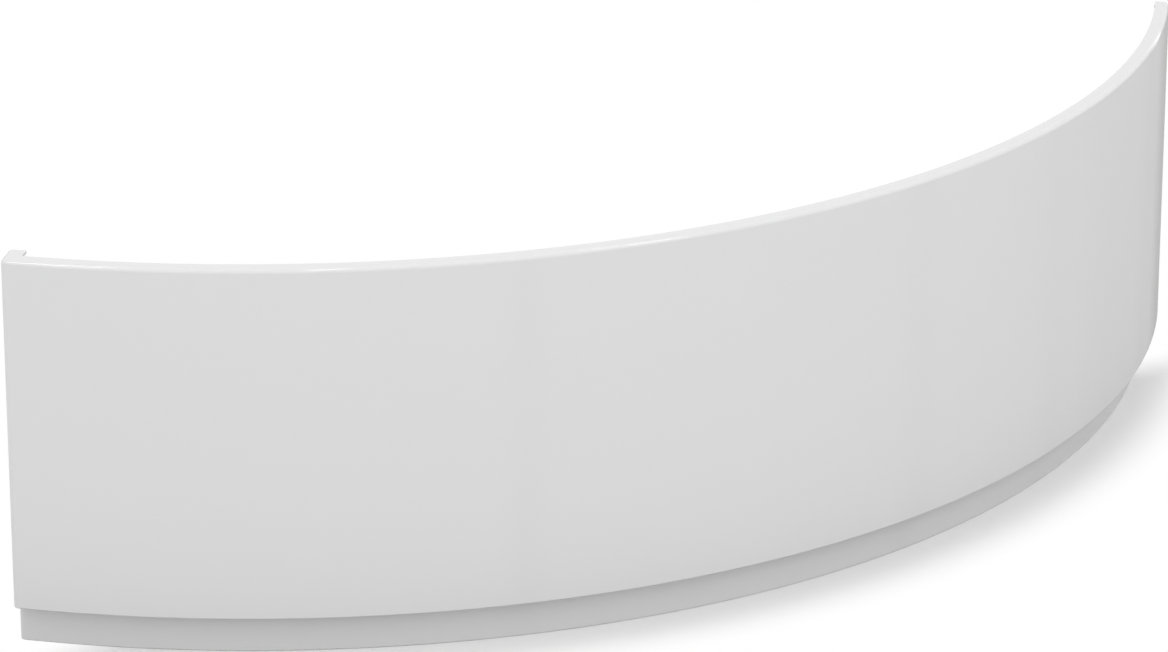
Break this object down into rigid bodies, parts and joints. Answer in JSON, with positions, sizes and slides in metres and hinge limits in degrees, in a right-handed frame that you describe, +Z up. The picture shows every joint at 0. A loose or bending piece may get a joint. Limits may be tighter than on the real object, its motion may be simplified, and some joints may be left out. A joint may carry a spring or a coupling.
{
  "type": "bath panel",
  "caption": "Curved front panel that closes the space under a corner bath, with a flat rim at the top, a return along the wall at each end and a recessed plinth",
  "frame": {"origin": "on the floor, at the middle of the panel's overall width and depth", "axes": "+X along the chord from the left end to the right end, +Y from the curved face towards the room's corner, +Z up"},
  "size_m": [1.9744, 0.4754, 0.55],
  "materials": {
    "acrylic": "gloss white cast acrylic"
  },
  "bodies": {
    "root": {"bath_panel": "acrylic"}
  },
  "joints": []
}
